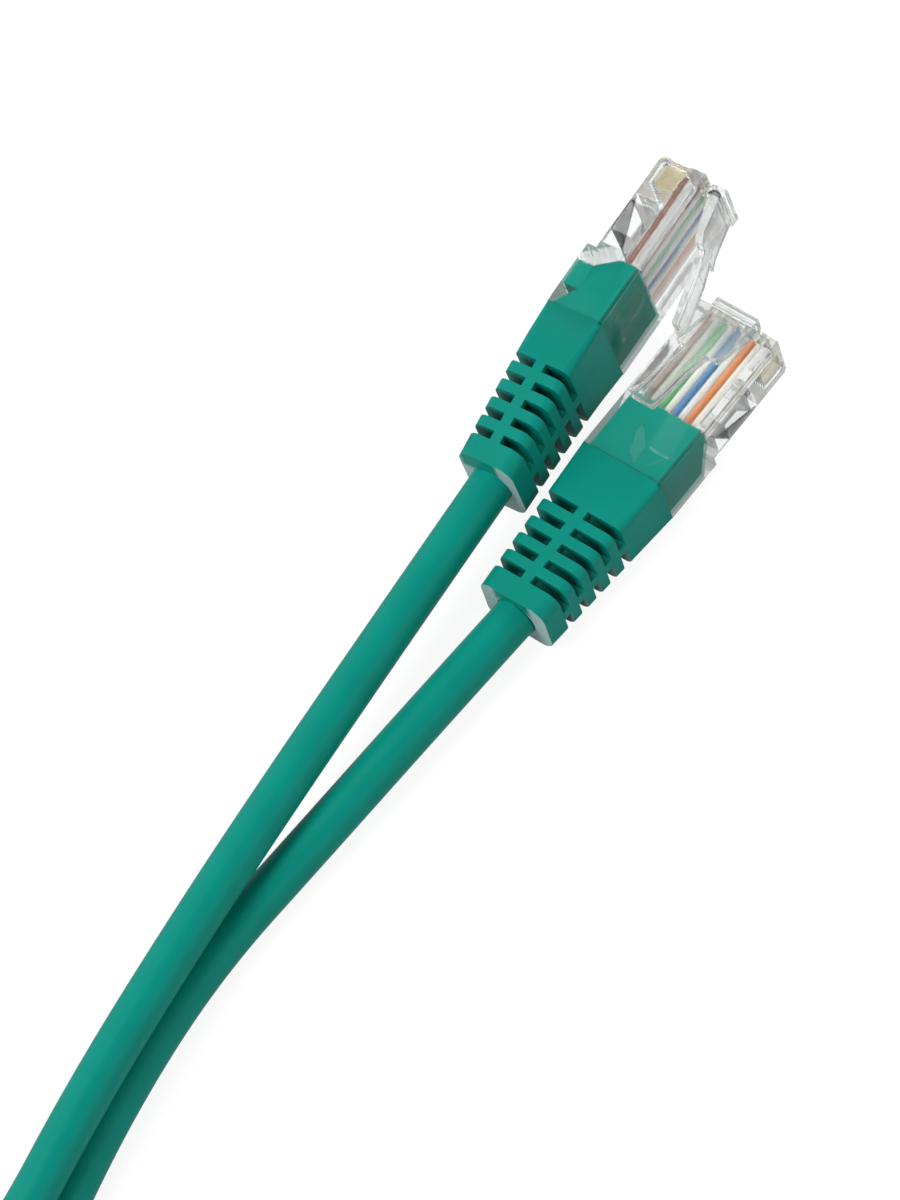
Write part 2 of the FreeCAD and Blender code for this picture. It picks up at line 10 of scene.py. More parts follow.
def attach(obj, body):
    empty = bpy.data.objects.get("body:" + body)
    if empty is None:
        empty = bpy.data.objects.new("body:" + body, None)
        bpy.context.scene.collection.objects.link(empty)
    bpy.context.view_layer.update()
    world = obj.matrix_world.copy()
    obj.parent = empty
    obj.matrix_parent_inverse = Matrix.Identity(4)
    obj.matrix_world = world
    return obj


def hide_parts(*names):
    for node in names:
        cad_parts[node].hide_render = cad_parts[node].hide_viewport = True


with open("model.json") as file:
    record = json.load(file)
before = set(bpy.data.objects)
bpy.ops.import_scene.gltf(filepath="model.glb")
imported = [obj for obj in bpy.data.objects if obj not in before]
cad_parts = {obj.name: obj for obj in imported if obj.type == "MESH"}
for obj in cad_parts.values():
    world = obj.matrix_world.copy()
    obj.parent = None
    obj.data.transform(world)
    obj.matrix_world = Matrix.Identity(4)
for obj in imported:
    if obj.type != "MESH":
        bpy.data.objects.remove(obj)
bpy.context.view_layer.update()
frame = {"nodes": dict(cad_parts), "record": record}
MM = 0.001

# Camera: where the photograph was taken from, in the part's own frame

VIEW_AIM = Vector((-4.125, -29.454, 0)) * MM
VIEW_DISTANCE = 977.976 * MM
VIEW_ELEVATION = math.radians(56.94)
VIEW_AZIMUTH = math.radians(33.42)
VIEW_ROLL = math.radians(-21.5)
PICTURE_HEIGHT = 1200
PIXELS_PER_MM = 8.45
FILM_HEIGHT = 36.0

# Sizes that the part's source shares, in millimetres and degrees

BODY_LENGTH = 23.2
BOOT_LENGTH = 21.8
NOSE_POINT_HEIGHT = 3.0
PLUG_TURN = 4.2
PLUG_PITCH = 1.5
PLUG_ROLL = 88.0
EXIT_RUN = 15.0
JACKET_DIAMETER = 5.4
CHAMBER_ROW = 1.51
WIRE_DIAMETER = 0.9
CORE_BORE = 0.52
PIN_PITCH = 1.02
PAIR_LAY = 1.04
FAN_START = 1.6
FAN_END = 7.4
WIRE_END = 22.14

# Route of the cord: leg A leaves its boot and ends in the coil, and leg B ends in its boot

ROUTE_A = [
    (-1.5, -61.5, 8.6), (1.3, -82.5, 8.5), (4.8, -105.5, 8.45), (9.3, -126.5, 8.2), (8.0, -137.0, 7.2),
    (3.5, -146.2, 5.8),
]
ROUTE_B = [
    (3.8, -64.5, 2.75), (2.8, -84.5, 2.75), (5.5, -104.5, 2.75), (10.9, -125.0, 2.75), (16.9, -133.8, 2.9),
    (25.0, -140.6, 3.6),
]
COIL_CENTRE = (21.4, -171.2, 6.66)
COIL_RADIUS = 27.5
TURN_SPACING = 5.6
COIL_STEPS = 45
COIL_FROM = 152.0
COIL_TO = 1497.0
COIL_PLACE = -31.0
COIL_PLACE_AT = 134.0
POLYGON_GAIN = 0.9665

# Conductors in the order of their pins, each with its colour and whether its sleeve is white with a stripe

CONDUCTORS = [
    ("white_orange", "#B1600C", True), ("orange", "#B1600C", False),
    ("white_green", "#46905A", True), ("blue", "#045A8A", False),
    ("white_blue", "#045A8A", True), ("green", "#46905A", False),
    ("white_brown", "#8A4B2C", True), ("brown", "#6B3A26", False),
]
PINS = len(CONDUCTORS)

# Places along a sleeve: steps in its fan, places in the flat row, and the sides of its round

FAN_STEPS = 28
ROW_PLACES = [10, 14, 18, WIRE_END]
SLEEVE_SIDES = 24

# Thin air gaps under the latch face, with a painted grey reflection and painted dark rim, in a plug's own
# frame: middle, half sizes, turn and strength

AIR_GAPS = [((-0.3, 3.4), (0.95, 2.9), 26.0, 0.6), ((3.3, 2.4), (0.22, 2.2), -36.0, 0.45)]

# Heights of a leaf form at which its painted grey reflection and painted dark edge start and are whole,
# and how its edge wanders

GAP_INSIDE = (0.0, 0.08)
GAP_EDGE = (0.12, 0.02)
GAP_EDGE_SHARE = 0.6
GAP_WANDER = 0.28

# Upper plug's boot, bent sideways behind its block, and the cords that follow their boots

FLEX = {"a": 1.0, "b": 0.0}
FLEX_FROM = 4.0
FLEX_POWER = 1.3
CORD_SHIFTS = {"a": [1.0, 1.05], "b": [0.0, -0.8]}
ROUTE_A_SHIFTS = [0.65, 0.2, 0.0, 0.0, 0.0, 0.0]

# Lower corners of plug B's green shot on its right side: where they lie, and how far the mould filled down

FILLED_ASIDE = 4.9
FILLED_AHEAD = 2.0
FILLED_BELOW = -1.2
FILLED_DROP = 2.1

# How far a green shot reaches into the clear plastic that it wets

WETTING = 0.02

# Copies of the nodes: how near points are one, and within how many degrees faces are one

SAME_POINT = 0.0005
SAME_PLANE = 0.5

# Rounded edges: width and steps, shortest edge rounded on a clear piece, and degrees of a sharp edge

BOOT_ROUNDING = (0.22, 3)
HOUSING_ROUNDING = (0.12, 2)
HOUSING_EDGE = 1.5
LEVER_ROUNDING = (0.15, 3)
LEVER_EDGE = 1.0
BLADE_ROUNDING = (0.03, 2)
BLADE_ANGLE = 30
SHARP_ANGLE = 35

# How near to their plug's origin boot and clear body meet, where their edges stay sharp

SEAM_HALF = 0.15

# Slow patterns of the finishes: their sizes, and how deep the ripple of the clear plastic is

CLOUD_SIZE = 5.0
GAP_WAVE = 1.3
FLOW_SIZE = 3.0
HOUSING_RIPPLE = 0.006
LATCH_RIPPLE = 0.012
PLATING_SIZE = 0.8
HAZE_SIZE = 0.5

# Fine grains and rolling marks, sizes and depths: the real ones are finer, and these are as coarse as shows

MOULD_GRAIN = 0.22
MOULD_DEPTH = 0.012
DIE_GRAIN = 0.35
DIE_DEPTH = 0.006
# Size of the painted glints in the boots' painted sheen
SHEEN_GLINT_SIZE = 0.25
ROLLING_SIZE = 0.12
ROLLING_DEPTH = 0.004

# Stripe of a white sleeve: turns for each millimetre, and its edge as shares of a turn from its middle

STRIPE_TURNS = 0.02
STRIPE_EDGE = (0.15, 0.12)
SLEEVE_WHITE = "#C6C2BC"

# Values between which a noise almost wholly stays, as the From Min and From Max of a Map Range node

NOISE_SPAN = {1: 0.3, 2: 0.7}

# Gloss and index of the soft plastics, whose satin skins mirror much less than polished ones

PVC_GLOSS = 0.14
PVC_INDEX = 1.53
SLEEVE_GLOSS = 0.25

# Share of the light that a clear wall bends, and how bright the room is behind it and the floor in a mirror

CLEARNESS = 0.8
THROUGH_CLEAR = 0.75
MIRRORED_SHEET = 0.35

# How far back a face looks where its painted sheen starts and where it is whole, as its normal's part along
# Y

FACING_BACK = (-0.75, -0.95)

# Where a boot's painted shade and painted sheen start and are whole, in its plug's own frame,
# and how strong they are

REAR_FACE = (1.0 - BOOT_LENGTH, 0.3 - BOOT_LENGTH)
BELOW_TOP = (2.4, 1.6)
BESIDE_CORD = (2.3, 3.0)
RING_ENDS = (4.2, 4.8)
RING_LOWER_HALF = (0.6, -0.4)
# Strength of the painted sheen on the rings' lower ends, and the span of its painted glints
RING_SHEEN = 0.6
SHEEN_GLINTS = (0.45, 0.95)
INSIDE_RINGS = (4.9, 3.9)
UNDER_RINGS = (3.5, 2.6)
BEHIND_BLOCK = (-6.5, -7.5)
BEFORE_COLLAR = (0.6 - BOOT_LENGTH, 1.6 - BOOT_LENGTH)
SLOT_SHADE = 0.8

# Floor: a round sheet in metres, a hair under the object, and how much of its white is its own glow

FLOOR_RADIUS = 0.45
FLOOR_SIDES = 64
FLOOR_MIDDLE = -0.07
FLOOR_DROP = 0.00002
FLOOR_GLOW = 0.9

# Room: how high a direction points where walls brighten and the ceiling dims, and how bright they are

WALL_FOOT = (0.03, 0.14)
WALL_LIGHT = (0.06, 0.75)
CEILING_EDGE = (0.55, 0.72)
CEILING_LIGHT = 0.14

# Lamps: name, place and size in metres, and power in watts

LAMPS = [("key_light", (-0.25, -0.35, 0.90), 0.5, 7.6), ("fill_light", (0.3, 0.9, 0.5), 0.5, 1.5)]


# Places


def mount(name):
    """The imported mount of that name: where it is, in metres."""
    found = [entry for entry in frame["record"]["mounts"] if entry["name"] == name]
    return Vector(found[0]["pos_m"])


def plug_place(letter):
    """A plug's own frame: turned by roll, pitch and turn, with the nose point where its mount says."""
    turned = Matrix.Identity(4)
    if letter == "a":
        turn = Matrix.Rotation(math.radians(PLUG_TURN), 4, "Z")
        pitch = Matrix.Rotation(math.radians(PLUG_PITCH), 4, "X")
        turned = turn @ pitch @ Matrix.Rotation(math.radians(PLUG_ROLL), 4, "Y")
    nose = turned @ (Vector((0, BODY_LENGTH, NOSE_POINT_HEIGHT)) * MM)
    return Matrix.Translation(mount("plug_" + letter + "_nose") - nose) @ turned


# Materials


def linear(colour):
    """sRGB hex to linear light: c / 12.92 up to 0.04045, above it ((c + 0.055) / 1.055) to the power 2.4."""
    values = [int(colour[at:at + 2], 16) / 255 for at in (1, 3, 5)]
    return tuple(v / 12.92 if v <= 0.04045 else ((v + 0.055) / 1.055) ** 2.4 for v in values) + (1.0,)


def add(tree, kind, settings=None, inputs=None):
    """Adds a node, sets its attributes and fills its inputs with values or with links from sockets."""
    node = tree.nodes.new(kind)
    for name, value in (settings or {}).items():
        setattr(node, name, value)
    for name, value in (inputs or {}).items():
        if isinstance(value, bpy.types.NodeSocket):
            tree.links.new(value, node.inputs[name])
        else:
            node.inputs[name].default_value = value
    return node


def new_material(name):
    """An empty material and its node tree."""
    material = bpy.data.materials.new(name)
    material.use_nodes = True
    material.node_tree.nodes.clear()
    return material, material.node_tree


def place_noise(tree, size, detail=2.0, roughness=0.5):
    """Noise on object coordinates, with features of the given size in millimetres."""
    where = add(tree, "ShaderNodeTexCoord").outputs["Object"]
    inputs = {"Vector": where, "Scale": 1 / (size * MM), "Detail": detail, "Roughness": roughness}
    return add(tree, "ShaderNodeTexNoise", {}, inputs).outputs["Fac"]


def share_where(tree, top, *ramps):
    """A share: nought before the first value of any ramp, at its top past the second value of them all.

    Each ramp climbs to the share that the ones before it leave, so that together they multiply."""
    share = top
    for value, start, whole in ramps:
        inputs = {0: value, 1: start, 2: whole, 3: 0.0, 4: share}
        share = add(tree, "ShaderNodeMapRange", {}, inputs).outputs[0]
    return share


def layered(tree, base, layers):
    """A base colour with further colours laid over it in turn, each by its own share."""
    colour = linear(base)
    for share, layer in layers:
        inputs = {0: share, 6: colour, 7: linear(layer)}
        colour = add(tree, "ShaderNodeMix", {"data_type": "RGBA"}, inputs).outputs[2]
    return colour


def plug_coordinates(tree, letter):
    """Object coordinates turned into a plug's own frame, in millimetres: across, along and above."""
    place = plug_place(letter)
    inputs = {
        "Vector": add(tree, "ShaderNodeTexCoord").outputs["Object"], "Location": place.translation[:],
        "Rotation": place.to_euler()[:], "Scale": (MM, MM, MM),
    }
    return add(tree, "ShaderNodeMapping", {"vector_type": "TEXTURE"}, inputs).outputs["Vector"]


def painted_boot_shade_and_sheen(tree, letter):
    """Painted shade deep in the slots and painted sheen on the faces that look back, as shares with colours.

    The shade is painted where a place is under the rings' skin, between block and collar. The sheen is
    painted on the collar's rear face beside and below the cord, and fainter on the lower ends of the
    rings, with painted glints."""
    normal = add(tree, "ShaderNodeTexCoord").outputs["Normal"]
    back = add(tree, "ShaderNodeSeparateXYZ", {}, {"Vector": normal}).outputs["Y"]
    local = add(tree, "ShaderNodeSeparateXYZ", {}, {"Vector": plug_coordinates(tree, letter)}).outputs
    aside = add(tree, "ShaderNodeMath", {"operation": "ABSOLUTE"}, {0: local["X"]}).outputs[0]
    deep = add(tree, "ShaderNodeMath", {"operation": "ABSOLUTE"}, {0: local["Z"]}).outputs[0]
    height, beside, up = {"b": (local["Z"], aside, 1), "a": (local["X"], deep, -1)}[letter]
    low = share_where(tree, 1.0, (height, up * BELOW_TOP[0], up * BELOW_TOP[1]))
    wide = share_where(tree, 1.0, (beside, *BESIDE_CORD))
    open_part = add(tree, "ShaderNodeMath", {"operation": "MAXIMUM"}, {0: low, 1: wide}).outputs[0]
    rear = share_where(tree, open_part, (local["Y"], *REAR_FACE))
    lower_half = (height, up * RING_LOWER_HALF[0], up * RING_LOWER_HALF[1])
    rings = share_where(tree, RING_SHEEN, (aside, *RING_ENDS), lower_half)
    where = add(tree, "ShaderNodeMath", {"operation": "MAXIMUM"}, {0: rear, 1: rings}).outputs[0]
    # Noise for the painted glints of the sheen
    grains = place_noise(tree, SHEEN_GLINT_SIZE, 5.0, 0.7)
    glint_ramp = {0: grains, **NOISE_SPAN, 3: SHEEN_GLINTS[0], 4: SHEEN_GLINTS[1]}
    both = {0: where, 1: add(tree, "ShaderNodeMapRange", {}, glint_ramp).outputs[0]}
    where = add(tree, "ShaderNodeMath", {"operation": "MULTIPLY"}, both).outputs[0]
    # Painted sheen: pale grey with painted glints on the faces that look back
    painted_sheen = share_where(tree, where, (back, *FACING_BACK))
    between = [(local["Y"], *BEHIND_BLOCK), (local["Y"], *BEFORE_COLLAR)]
    # Painted shade: a near-black green deep in the slots, under the rings' skin
    shade = share_where(tree, SLOT_SHADE, (aside, *INSIDE_RINGS), (deep, *UNDER_RINGS), *between)
    # Near-black green for the painted shade, pale grey for the painted sheen
    return [(shade, "#002F29"), (painted_sheen, "#C6D5DA")]


def dyed_pvc(name, colours, grain, depth, rough, letter=None):
    """Plasticised PVC: even dyed-through colour, satin skin, fine grain of the mould or the die.

    Its two greens change slowly into each other, and a boot has painted shade and painted sheen over them."""
    material, tree = new_material(name)
    clouds = {0: place_noise(tree, CLOUD_SIZE), **NOISE_SPAN, 3: 0.0, 4: 1.0}
    layers = [(add(tree, "ShaderNodeMapRange", {}, clouds).outputs[0], colours[1])]
    if letter:
        # A boot's painted shade in its slots and painted sheen on its rear faces
        layers += painted_boot_shade_and_sheen(tree, letter)
    grains = place_noise(tree, grain, 4.0, 0.6)
    dull = add(tree, "ShaderNodeMapRange", {}, {0: grains, **NOISE_SPAN, 3: rough[0], 4: rough[1]})
    bump = add(tree, "ShaderNodeBump", {}, {"Height": grains, "Distance": depth * MM, "Strength": 1.0})
    inputs = {
        "Base Color": layered(tree, colours[0], layers), "Roughness": dull.outputs[0], "IOR": PVC_INDEX,
        "Specular IOR Level": PVC_GLOSS, "Normal": bump.outputs["Normal"],
    }
    shader = add(tree, "ShaderNodeBsdfPrincipled", {}, inputs).outputs[0]
    add(tree, "ShaderNodeOutputMaterial", {}, {"Surface": shader})
    return material


def leaf(tree, local, middle, size, turn):
    """Height of a leaf-shaped form: one less the squared length along it, less the share of its width.

    It is above nought inside the leaf, and its edge wanders with a slow noise."""
    inputs = {
        "Vector": local, "Location": (*middle, 0.0), "Rotation": (0.0, 0.0, math.radians(turn)),
        "Scale": (*size, 1.0),
    }
    within = add(tree, "ShaderNodeMapping", {"vector_type": "TEXTURE"}, inputs).outputs["Vector"]
    parts = add(tree, "ShaderNodeSeparateXYZ", {}, {"Vector": within}).outputs
    across = add(tree, "ShaderNodeMath", {"operation": "ABSOLUTE"}, {0: parts["X"]}).outputs[0]
    wave = {0: place_noise(tree, GAP_WAVE, 1.0), **NOISE_SPAN, 3: -GAP_WANDER, 4: GAP_WANDER}
    wander = add(tree, "ShaderNodeMapRange", {}, wave).outputs[0]
    spent = add(tree, "ShaderNodeMath", {"operation": "MULTIPLY"}, {0: parts["Y"], 1: parts["Y"]}).outputs[0]
    for more in (across, wander):
        spent = add(tree, "ShaderNodeMath", {"operation": "ADD"}, {0: spent, 1: more}).outputs[0]
    return add(tree, "ShaderNodeMath", {"operation": "SUBTRACT"}, {0: 1.0, 1: spent}).outputs[0]


def overmould_pvc(letter):
    """First green shot, seen through the clear body: it wets the plastic but for two thin air gaps.

    Each gap's grey reflection and dark rim are painted on the green.
    """
    material, tree = new_material("inner_green_pvc_" + letter)
    local = plug_coordinates(tree, letter)
    layers = []
    for middle, size, turn, strength in AIR_GAPS:
        height = leaf(tree, local, middle, size, turn)
        edge = add(tree, "ShaderNodeMath", {"operation": "ABSOLUTE"}, {0: height}).outputs[0]
        # Painted grey reflection of an air gap, and its painted dark rim
        layers.append((share_where(tree, strength, (height, *GAP_INSIDE)), "#3B857B"))
        layers.append((share_where(tree, strength * GAP_EDGE_SHARE, (edge, *GAP_EDGE)), "#00554B"))
    inputs = {
        "Base Color": layered(tree, "#008071", layers), "Roughness": 0.35, "IOR": PVC_INDEX,
        "Specular IOR Level": PVC_GLOSS,
    }
    shader = add(tree, "ShaderNodeBsdfPrincipled", {}, inputs).outputs[0]
    add(tree, "ShaderNodeOutputMaterial", {}, {"Surface": shader})
    return material


def clear_polycarbonate(name, tint, roughness, ripple):
    """Injection-moulded polycarbonate: glass-clear, glossy, with a faint flow ripple on its faces.

    A share of the light goes straight through, as it does where a real wall is thin and polished."""
    material, tree = new_material(name)
    flow = place_noise(tree, FLOW_SIZE)
    bump = add(tree, "ShaderNodeBump", {}, {"Height": flow, "Distance": ripple * MM, "Strength": 1.0})
    inputs = {
        "Base Color": linear(tint), "Roughness": roughness, "IOR": 1.56, "Transmission Weight": 1.0,
        "Alpha": CLEARNESS, "Normal": bump.outputs["Normal"],
    }
    shader = add(tree, "ShaderNodeBsdfPrincipled", {}, inputs).outputs[0]
    add(tree, "ShaderNodeOutputMaterial", {}, {"Surface": shader})
    return material


def plated_metal(name, main, worn, rough):
    """Rolled and plated strip or drawn wire: bright metal with fine marks and slightly duller patches."""
    material, tree = new_material(name)
    patches = {0: place_noise(tree, PLATING_SIZE), **NOISE_SPAN, 3: 0.0, 4: 1.0}
    share = add(tree, "ShaderNodeMapRange", {}, patches).outputs[0]
    marks = place_noise(tree, ROLLING_SIZE, 3.0)
    dull = add(tree, "ShaderNodeMapRange", {}, {0: marks, **NOISE_SPAN, 3: rough[0], 4: rough[1]})
    dents = {"Height": marks, "Distance": ROLLING_DEPTH * MM, "Strength": 1.0}
    bump = add(tree, "ShaderNodeBump", {}, dents)
    inputs = {
        "Base Color": layered(tree, main, [(share, worn)]), "Metallic": 1.0, "Roughness": dull.outputs[0],
        "Normal": bump.outputs["Normal"],
    }
    shader = add(tree, "ShaderNodeBsdfPrincipled", {}, inputs).outputs[0]
    add(tree, "ShaderNodeOutputMaterial", {}, {"Surface": shader})
    return material


def sleeve_polyolefin(name, colour, striped):
    """Extruded conductor sleeve: dyed through, or white with one stripe that winds slowly round it.

    On the piece's own UV map u runs once round the sleeve and v along it in millimetres."""
    material, tree = new_material(name)
    base = linear(colour)
    if striped:
        where = add(tree, "ShaderNodeUVMap", {"uv_map": "sleeve"}).outputs["UV"]
        around, along, _ = add(tree, "ShaderNodeSeparateXYZ", {}, {"Vector": where}).outputs
        winding = {0: along, 1: STRIPE_TURNS, 2: around}
        turned = add(tree, "ShaderNodeMath", {"operation": "MULTIPLY_ADD"}, winding).outputs[0]
        wave = add(tree, "ShaderNodeMath", {"operation": "PINGPONG"}, {0: turned, 1: 0.5}).outputs[0]
        base = layered(tree, SLEEVE_WHITE, [(share_where(tree, 1.0, (wave, *STRIPE_EDGE)), colour)])
    haze = {0: place_noise(tree, HAZE_SIZE), **NOISE_SPAN, 3: 0.3, 4: 0.45}
    dull = add(tree, "ShaderNodeMapRange", {}, haze).outputs[0]
    inputs = {"Base Color": base, "Roughness": dull, "IOR": 1.5, "Specular IOR Level": SLEEVE_GLOSS}
    shader = add(tree, "ShaderNodeBsdfPrincipled", {}, inputs).outputs[0]
    add(tree, "ShaderNodeOutputMaterial", {}, {"Surface": shader})
    return material


MATERIALS = {
    "jacket": dyed_pvc("extruded_green_pvc", ("#008F80", "#008A7B"), DIE_GRAIN, DIE_DEPTH, (0.31, 0.43)),
    "clear_housing": clear_polycarbonate("clear_polycarbonate", "#FBFEFD", 0.0, HOUSING_RIPPLE),
    "clear_latch": clear_polycarbonate("latch_polycarbonate", "#F3F7F6", 0.05, LATCH_RIPPLE),
    "gold_contact": plated_metal("gold_plated_bronze", "#C9BC9E", "#B9A988", (0.28, 0.43)),
    "copper": plated_metal("bare_copper", "#D98B62", "#B8693F", (0.3, 0.45)),
}
for conductor, colour, striped in CONDUCTORS:
    MATERIALS["wire_" + conductor] = sleeve_polyolefin("sleeve_" + conductor, colour, striped)


# Pieces


def finished(piece, body, slot, *nodes, material=None):
    """Gives a piece its material, by slot unless one is given, and its body; hides the nodes it replaces."""
    piece.data.materials.clear()
    piece.data.materials.append(material or MATERIALS[slot])
    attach(piece, body)
    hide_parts(*nodes)


def merged_copy(node, name):
    """A copy of a node's mesh with its loose triangles joined and its flat faces made whole."""
    piece = frame["nodes"][node].copy()
    piece.data = frame["nodes"][node].data.copy()
    piece.name = name
    piece.parent = None
    bpy.context.scene.collection.objects.link(piece)
    mesh = bmesh.new()
    mesh.from_mesh(piece.data)
    bmesh.ops.remove_doubles(mesh, verts=mesh.verts, dist=SAME_POINT * MM)
    same_plane = math.radians(SAME_PLANE)
    bmesh.ops.dissolve_limit(mesh, angle_limit=same_plane, verts=mesh.verts, edges=mesh.edges[:])
    mesh.to_mesh(piece.data)
    mesh.free()
    return piece


def points_of(piece):
    """The places of a mesh's points, one row each."""
    place = np.zeros(len(piece.data.vertices) * 3)
    piece.data.vertices.foreach_get("co", place)
    return place.reshape(-1, 3)


def set_points(piece, place):
    """Puts a mesh's points at new places."""
    piece.data.vertices.foreach_set("co", place.reshape(-1))
    piece.data.update()
    return piece


def grown(piece, by):
    """Moves every point outwards along its normal by that many millimetres."""
    normal = np.zeros(len(piece.data.vertices) * 3)
    piece.data.vertex_normals.foreach_get("vector", normal)
    return set_points(piece, points_of(piece) + normal.reshape(-1, 3) * by * MM)


def flex_of(along, letter):
    """How far a place on the boot has moved sideways: nought at the block, then a power of the way back."""
    share = np.clip((-FLEX_FROM - along) / (BOOT_LENGTH - FLEX_FROM), 0, 1)
    return FLEX[letter] * share ** FLEX_POWER


def flexed(piece, letter):
    """Bends a piece with its boot, sideways in the part's own frame."""
    place = points_of(piece)
    to_plug = np.array(plug_place(letter).inverted())
    along = (place @ to_plug[1, :3] + to_plug[1, 3]) / MM
    place[:, 0] += flex_of(along, letter) * MM
    return set_points(piece, place)


def side_filled(shot):
    """Lowers the corners of plug B's green shot on its right side, down to the clear body's lower edge."""
    place = points_of(shot)
    across, along, above = ((place - np.array(plug_place("b").translation)) / MM).T
    corners = (across > FILLED_ASIDE) & (along > FILLED_AHEAD) & (above < FILLED_BELOW)
    place[corners, 2] -= FILLED_DROP * MM
    return set_points(shot, place)


def mark_edges(piece, shortest=0.0, letter=None):
    """Weights for the bevel: one on each sharp edge that is long enough, nought elsewhere.

    With a plug's letter, the edges where the boot and the clear body meet stay sharp."""
    to_plug = plug_place(letter).inverted() if letter else None
    mesh = bmesh.new()
    mesh.from_mesh(piece.data)
    weight = mesh.edges.layers.float.new("bevel_weight_edge")
    for edge in mesh.edges:
        sharp = edge.calc_face_angle(0.0) > math.radians(SHARP_ANGLE)
        seam = letter and all(abs((to_plug @ vertex.co).y) < SEAM_HALF * MM for vertex in edge.verts)
        edge[weight] = 1.0 if sharp and not seam and edge.calc_length() > shortest * MM else 0.0
    mesh.to_mesh(piece.data)
    mesh.free()


def bevelled(piece, rounding, limit, clamp):
    """The bevel that rounds a piece's edges, held back where two would meet if it is clamped."""
    bevel = piece.modifiers.new("rounded_edges", "BEVEL")
    bevel.width = rounding[0] * MM
    bevel.segments = rounding[1]
    bevel.limit_method = limit
    bevel.use_clamp_overlap = clamp
    return bevel


def round_clear_edges(piece, rounding, shortest, letter=None):
    """Rounds only the long edges of a clear piece and leaves its small facets flat and sharp."""
    mark_edges(piece, shortest, letter)
    piece.data.polygons.foreach_set("use_smooth", [False] * len(piece.data.polygons))
    bevelled(piece, rounding, "WEIGHT", False)


def round_edges(piece, rounding, angle=None):
    """Rounds the marked edges, or all that turn by more than an angle, and shades the broad faces flat."""
    piece.data.polygons.foreach_set("use_smooth", [True] * len(piece.data.polygons))
    bevel = bevelled(piece, rounding, "ANGLE" if angle else "WEIGHT", True)
    if angle:
        bevel.angle_limit = math.radians(angle)
    shading = piece.modifiers.new("face_shading", "WEIGHTED_NORMAL")
    shading.keep_sharp = True


def surface(name, points, uv):
    """A closed surface from a grid of points, with the UV of each face's corners.

    Each face joins a point to the next one in its row and in its column, and the last joins the first."""
    rows, columns = points.shape[:2]
    row, column = np.meshgrid(np.arange(rows), np.arange(columns), indexing="ij")
    below = (row + 1) % rows
    beside = (column + 1) % columns
    corners = [(row, column), (row, beside), (below, beside), (below, column)]
    faces = np.stack([a * columns + b for a, b in corners], axis=-1).reshape(-1, 4)
    mesh = bpy.data.meshes.new(name)
    mesh.from_pydata(points.reshape(-1, 3), [], faces)
    layer = mesh.uv_layers.new(name="sleeve")
    layer.data.foreach_set("uv", uv.reshape(-1))
    mesh.polygons.foreach_set("use_smooth", [True] * len(mesh.polygons))
    mesh.update()
    piece = bpy.data.objects.new(name, mesh)
    bpy.context.scene.collection.objects.link(piece)
    return piece


# Camera and cord


def make_camera():
    """A long-lensed camera that looks down on the plugs from the right, turned about its own axis."""
    right = Vector((math.sin(VIEW_AZIMUTH), math.cos(VIEW_AZIMUTH), 0))
    ahead = Vector((-right.y, right.x, 0))
    sight = ahead * math.cos(VIEW_ELEVATION) - Vector((0, 0, math.sin(VIEW_ELEVATION)))
    above = right.cross(sight)
    across = right * math.cos(VIEW_ROLL) + above * math.sin(VIEW_ROLL)
    upward = above * math.cos(VIEW_ROLL) - right * math.sin(VIEW_ROLL)
    data = bpy.data.cameras.new("camera")
    data.sensor_width = FILM_HEIGHT
    data.lens = FILM_HEIGHT / PICTURE_HEIGHT * PIXELS_PER_MM * VIEW_DISTANCE / MM
    data.clip_start = 0.01
    camera = bpy.data.objects.new("camera", data)
    bpy.context.scene.collection.objects.link(camera)
    turned = Matrix((across, upward, -sight)).transposed().to_4x4()
    camera.matrix_world = Matrix.Translation(VIEW_AIM - sight * VIEW_DISTANCE) @ turned
    bpy.context.scene.camera = camera


def coil_points():
    """Control points of the coil: a ring whose turns lie at four places round the ring's middle line.

    The place moves on by a quarter for each turn, a little at a time, so that the turns lie beside and
    on each other, and the ring is widened a little because the curve cuts inside its control points."""
    angle = np.radians(np.linspace(COIL_FROM, COIL_TO, COIL_STEPS))
    place = np.radians(COIL_PLACE) + (angle - np.radians(COIL_PLACE_AT)) / 4
    offset = TURN_SPACING / math.sqrt(2)
    radius = (COIL_RADIUS + offset * np.cos(place)) / POLYGON_GAIN
    x = COIL_CENTRE[0] + radius * np.cos(angle)
    y = COIL_CENTRE[1] + radius * np.sin(angle)
    z = COIL_CENTRE[2] + offset * np.sin(place)
    return np.stack([x, y, z], axis=1)


def make_cord():
    """The jacket from one boot to the other, one smooth curve through both legs and the coil."""
    ends = {}
    for letter in "ab":
        place = plug_place(letter)
        ends[letter] = []
        for back, shift in zip((BOOT_LENGTH, BOOT_LENGTH + EXIT_RUN), CORD_SHIFTS[letter]):
            point = place @ (Vector((0, -back, 0)) * MM) / MM
            ends[letter].append((point.x + shift, point.y, point.z))
    leg_a = [(x + shift, y, z) for (x, y, z), shift in zip(ROUTE_A, ROUTE_A_SHIFTS)]
    points = ends["a"] + leg_a + coil_points().tolist() + ROUTE_B[::-1] + ends["b"][::-1]
    curve = bpy.data.curves.new("cord", "CURVE")
    curve.dimensions = "3D"
    spline = curve.splines.new("NURBS")
    spline.points.add(len(points) - 1)
    flat = [value for point in points for value in (point[0] * MM, point[1] * MM, point[2] * MM, 1.0)]
    spline.points.foreach_set("co", flat)
    spline.order_u = 3
    spline.use_endpoint_u = True
    spline.resolution_u = 12
    curve.bevel_depth = JACKET_DIAMETER / 2 * MM
    curve.bevel_resolution = 10
    cord = bpy.data.objects.new("green_jacket", curve)
    bpy.context.scene.collection.objects.link(cord)
    finished(cord, "cable", "jacket", "jacket_leg_a", "jacket_leg_b", "jacket_coil")


# Plugs


